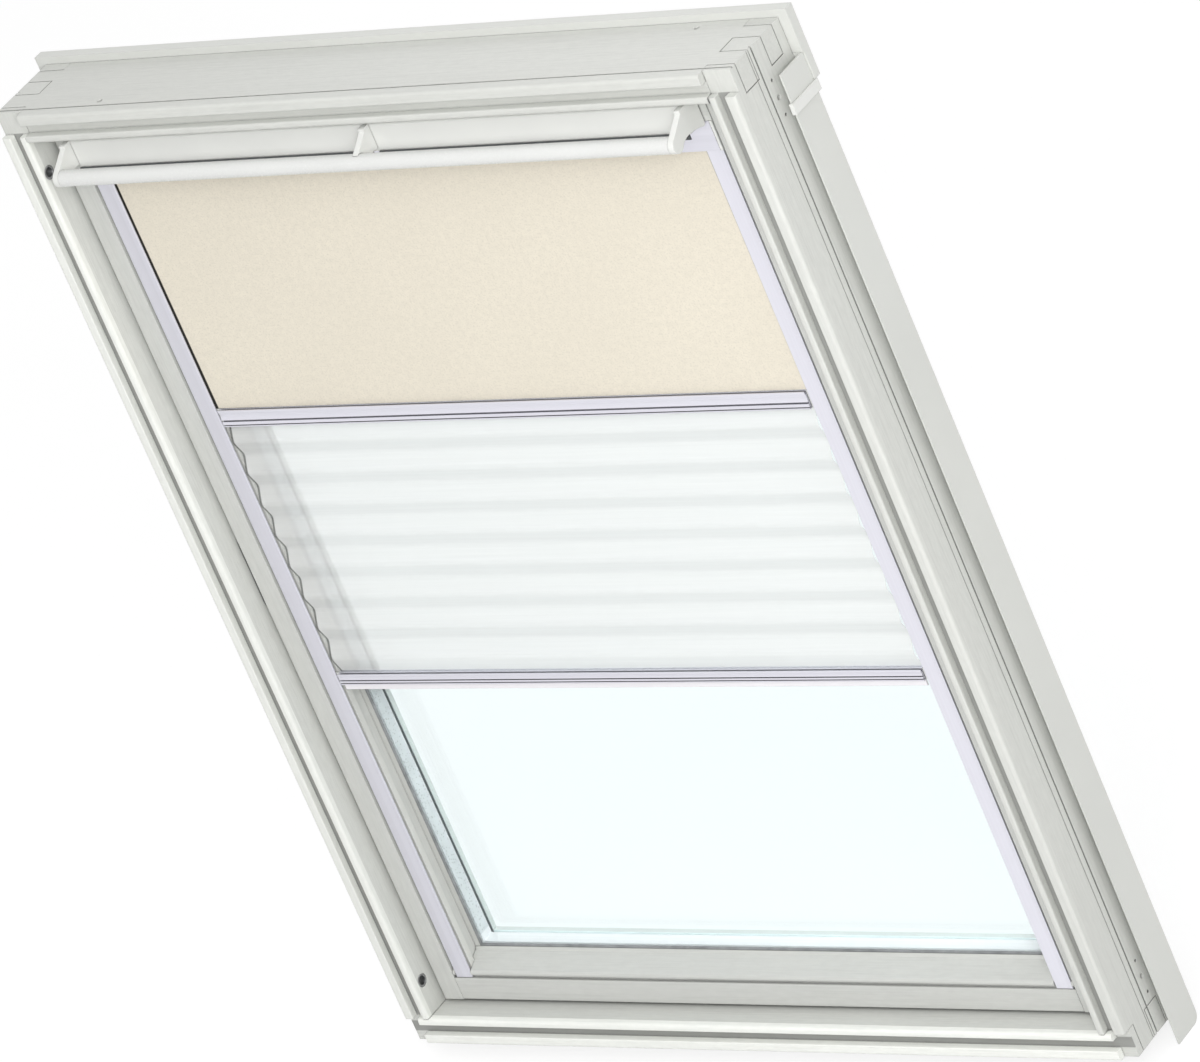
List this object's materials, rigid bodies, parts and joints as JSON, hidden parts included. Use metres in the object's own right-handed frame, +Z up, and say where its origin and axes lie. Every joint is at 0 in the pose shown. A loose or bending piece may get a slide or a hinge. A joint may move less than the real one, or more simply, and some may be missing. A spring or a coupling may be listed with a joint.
{
  "type": "skylight window blind",
  "caption": "Centre-pivot roof window with a white frame and sash, a blackout roller blind and a pleated blind in side rails, and a ventilation bar.",
  "frame": {"origin": "centre of the underside of the frame", "axes": "+X to the right seen from the room, +Y towards the outside of the roof, +Z up the slope of the roof"},
  "size_m": [0.8016, 0.1216, 1.005],
  "materials": {
    "paint": "white lacquer on timber, satin",
    "cover": "light grey powder coat, satin",
    "plastic": "white moulded plastic",
    "handle": "white, smooth and slightly glossy",
    "aluminium": "pale anodised aluminium",
    "steel": "zinc-plated steel",
    "rubber": "dark grey sealing rubber",
    "glass": "clear float glass",
    "spacer": "mill-finish hollow bar",
    "blackout": "cream closely woven blackout cloth",
    "pleated": "white translucent pleated cloth"
  },
  "bodies": {
    "frame": {"frame_top": "paint", "frame_bottom": "paint", "frame_left": "paint", "frame_right": "paint", "head_cover": "cover", "sill_cover": "cover", "side_cover_left": "cover", "side_cover_right": "cover", "cover_clip_left": "cover", "cover_clip_right": "cover", "frame_pivot_left": "steel", "frame_pivot_right": "steel", "bolt_bush_upper": "steel", "bolt_bush_lower": "steel"},
    "sash": {"sash_top": "paint", "sash_bottom": "paint", "sash_left": "paint", "sash_right": "paint", "cladding_top": "cover", "cladding_bottom": "cover", "cladding_left": "cover", "cladding_right": "cover", "cassette_end_left": "plastic", "cassette_end_right": "plastic", "blind_cassette": "aluminium", "guide_rail_left": "aluminium", "guide_rail_right": "aluminium", "sash_pivot_left": "steel", "sash_pivot_right": "steel", "spring_unit": "steel", "glazing_seal_top": "rubber", "glazing_seal_bottom": "rubber", "glazing_seal_left": "rubber", "glazing_seal_right": "rubber", "sash_seal_top": "rubber", "sash_seal_bottom": "rubber", "sash_seal_left": "rubber", "sash_seal_right": "rubber", "inner_pane": "glass", "outer_pane": "glass", "pane_spacer": "spacer", "blackout_cloth": "blackout"},
    "control_bar": {"vent_flap": "plastic", "control_bar": "handle", "bar_bracket_left": "handle", "bar_bracket_middle": "handle", "bar_bracket_right": "handle"},
    "barrel_bolt": {"barrel_bolt": "steel"},
    "roller": {"roller_tube": "aluminium"},
    "blackout_bar": {"blackout_bar": "aluminium", "blackout_glide_left": "plastic", "blackout_glide_right": "plastic", "pleated_cloth": "pleated"},
    "pleat_bar": {"pleat_bar": "aluminium", "pleat_glide_left": "plastic", "pleat_glide_right": "plastic"}
  },
  "joints": [
    {"name": "sash_pivot", "type": "hinge", "parent": "frame", "child": "sash", "pos_m": [0, -0.007, 0.489], "axis": [1, 0, 0], "range_deg": [0, 180]},
    {"name": "ventilation_hinge", "type": "hinge", "parent": "sash", "child": "control_bar", "pos_m": [0, -0.021, 0.921], "axis": [1, 0, 0], "range_deg": [0, 30]},
    {"name": "bolt_slide", "type": "slide", "parent": "sash", "child": "barrel_bolt", "axis": [-1, 0, 0], "range_m": [0, 0.012]},
    {"name": "blackout_slide", "type": "slide", "parent": "sash", "child": "blackout_bar", "axis": [0, 0, 1], "range_m": [-0.15, 0.2], "deforming": ["blackout_cloth"]},
    {"name": "pleat_slide", "type": "slide", "parent": "blackout_bar", "child": "pleat_bar", "axis": [0, 0, 1], "range_m": [-0.15, 0.2], "deforming": ["pleated_cloth"]},
    {"name": "roller_spin", "type": "hinge", "parent": "sash", "child": "roller", "pos_m": [0, -0.00285, 0.9075], "axis": [1, 0, 0], "range_deg": [-1130, 848]}
  ],
  "couplings": [
    {"joint": "roller_spin", "follows": "blackout_slide", "rad_per_m": -98.522}
  ]
}
